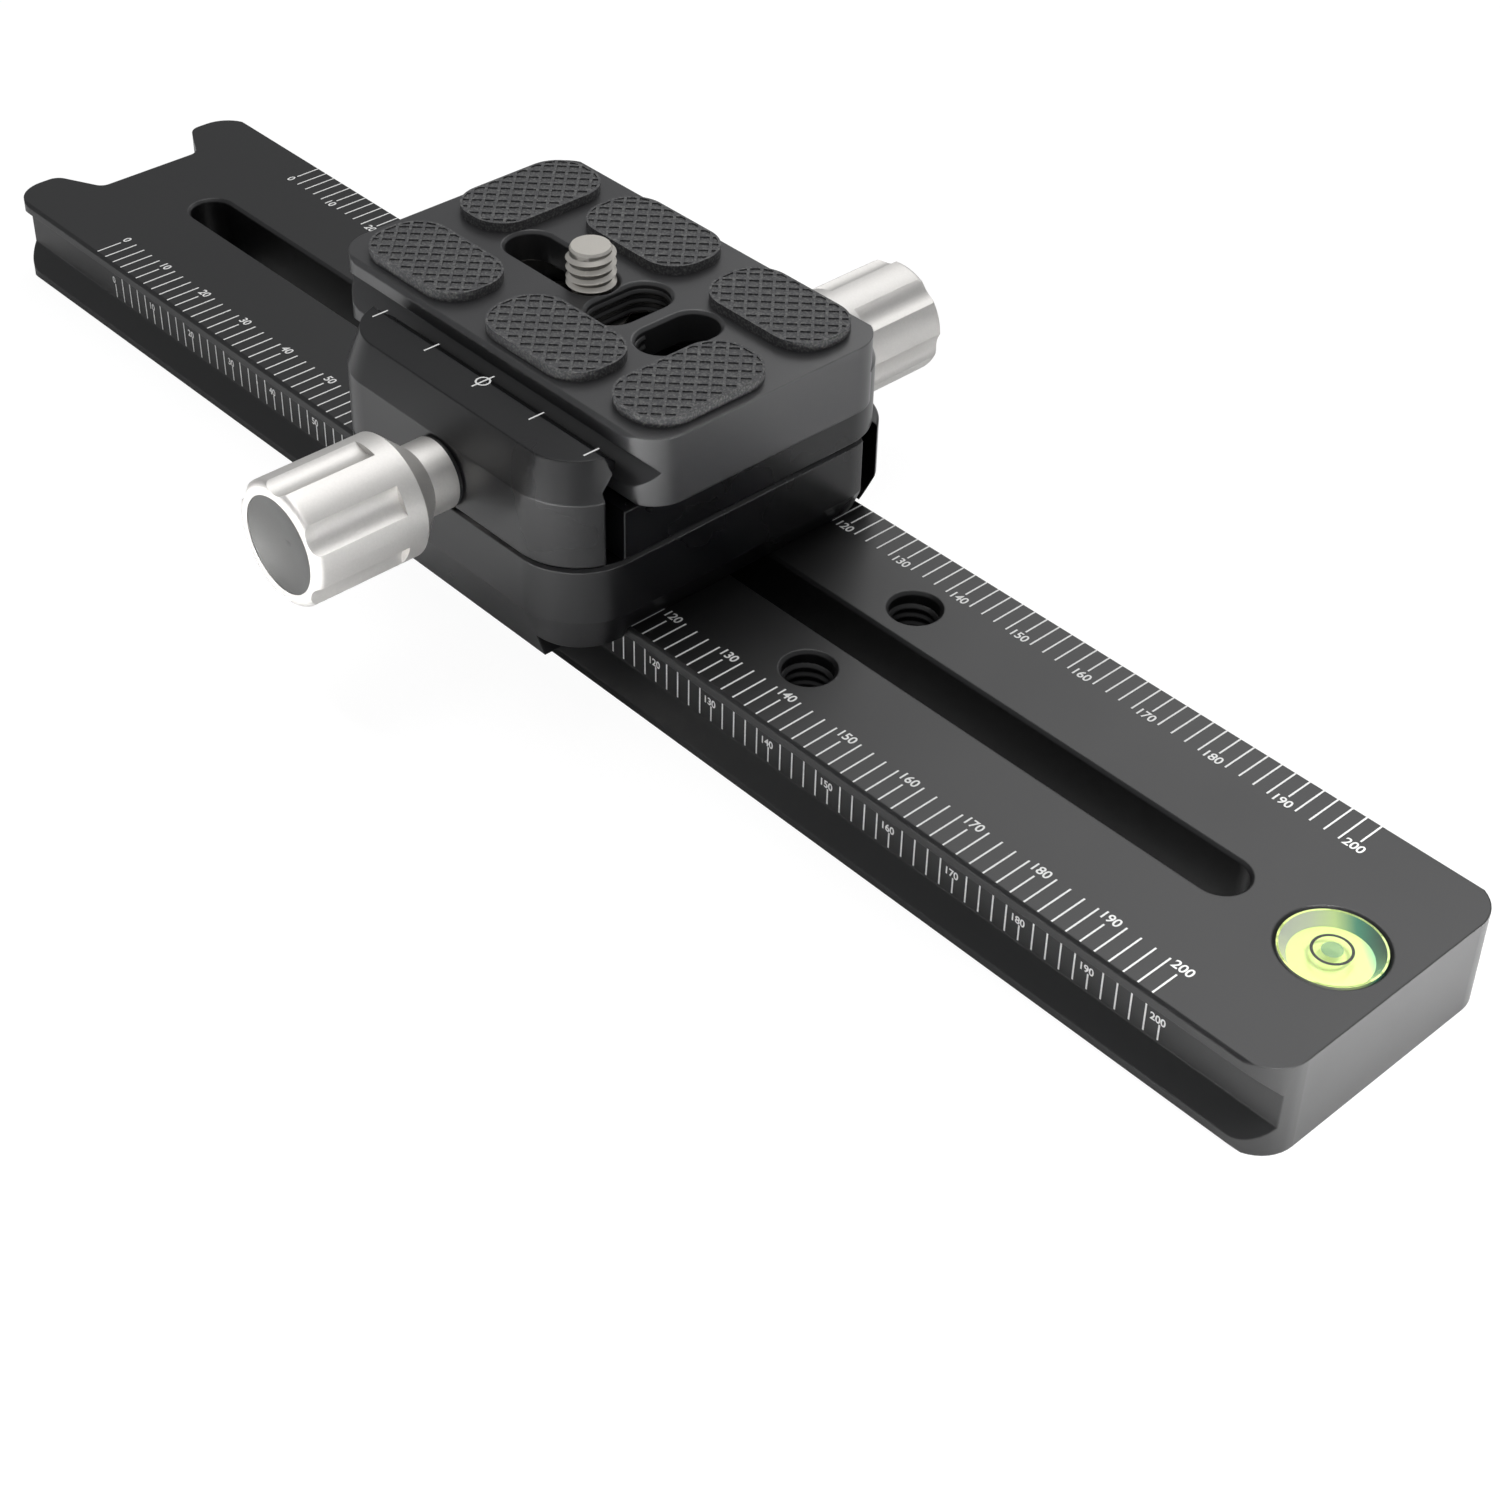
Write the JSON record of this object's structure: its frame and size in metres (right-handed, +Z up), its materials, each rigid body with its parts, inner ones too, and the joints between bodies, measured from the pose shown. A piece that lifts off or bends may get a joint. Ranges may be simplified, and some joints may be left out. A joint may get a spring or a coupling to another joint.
{
  "type": "nodal slide rail",
  "caption": "Dovetail slide rail with scales and a bubble level, carrying a sliding two-way screw-knob clamp that holds a padded quick release plate with a camera screw.",
  "frame": {"origin": "centre of the central thread at the rail's flat underside", "axes": "+X along the rail towards the level, +Y across it to the rail jaw's knob, +Z up"},
  "size_m": [0.24, 0.1012, 0.0452],
  "materials": {
    "black_anodised": "satin black anodised",
    "bead_blasted": "bead blasted, clear anodised",
    "grey_insert": "satin grey",
    "steel": "bright",
    "spring_steel": "drawn wire",
    "rubber": "matte, diamond grid",
    "acrylic": "clear, polished",
    "level_fluid": "clear yellow-green liquid",
    "air": "clear",
    "black_print": "printed ink",
    "nylon": "black nylon"
  },
  "bodies": {
    "rail": {"rail_body": "black_anodised", "level_vial": "acrylic", "level_liquid": "level_fluid", "level_bubble": "air", "level_ring": "black_print"},
    "clamp": {"lower_body": "black_anodised", "upper_body": "black_anodised", "bed_screws": "steel", "near_guide_pins": "steel", "far_guide_pins": "steel", "near_springs": "spring_steel", "far_springs": "spring_steel"},
    "near_jaw": {"near_jaw": "black_anodised"},
    "near_knob": {"near_knob": "bead_blasted", "near_knob_cap": "grey_insert", "near_screw": "steel", "near_washer": "nylon"},
    "far_jaw": {"far_jaw": "black_anodised"},
    "far_knob": {"far_knob": "bead_blasted", "far_knob_cap": "grey_insert", "far_screw": "steel", "far_washer": "nylon"},
    "plate": {"plate_body": "black_anodised", "pad_1": "rubber", "pad_2": "rubber", "pad_3": "rubber", "pad_4": "rubber", "pad_5": "rubber", "pad_6": "rubber", "stop_pins": "steel"},
    "screw_carriage": {"camera_screw_clip": "spring_steel"},
    "camera_screw": {"camera_screw": "steel"}
  },
  "joints": [
    {"name": "clamp_slide", "type": "slide", "parent": "rail", "child": "clamp", "axis": [1, 0, 0], "range_m": [-0.094, 0.092]},
    {"name": "near_jaw_slide", "type": "slide", "parent": "clamp", "child": "near_jaw", "axis": [0, 1, 0], "range_m": [0, 0.0023]},
    {"name": "near_knob_turn", "type": "hinge", "parent": "near_jaw", "child": "near_knob", "pos_m": [-0.0013, -0.0297, 0.0282], "axis": [0, 1, 0], "range_deg": [0, 1182.86]},
    {"name": "far_jaw_slide", "type": "slide", "parent": "clamp", "child": "far_jaw", "axis": [0, 1, 0], "range_m": [-0.0012, 0.0012]},
    {"name": "far_knob_turn", "type": "hinge", "parent": "far_jaw", "child": "far_knob", "pos_m": [-0.0013, 0.0255, 0.0194], "axis": [0, 1, 0], "range_deg": [-617.14, 617.14]},
    {"name": "plate_slide", "type": "slide", "parent": "clamp", "child": "plate", "axis": [1, 0, 0], "range_m": [-0.003, 0.01]},
    {"name": "camera_screw_slide", "type": "slide", "parent": "plate", "child": "screw_carriage", "axis": [1, 0, 0], "range_m": [-0.0118, 0]},
    {"name": "camera_screw_turn", "type": "hinge", "parent": "screw_carriage", "child": "camera_screw", "pos_m": [-0.0078, -0.00055, 0.031], "axis": [0, 0, 1], "continuous": true}
  ],
  "couplings": [
    {"joint": "near_knob_turn", "follows": "near_jaw_slide", "rad_per_m": 8976},
    {"joint": "far_knob_turn", "follows": "far_jaw_slide", "rad_per_m": 8976}
  ]
}
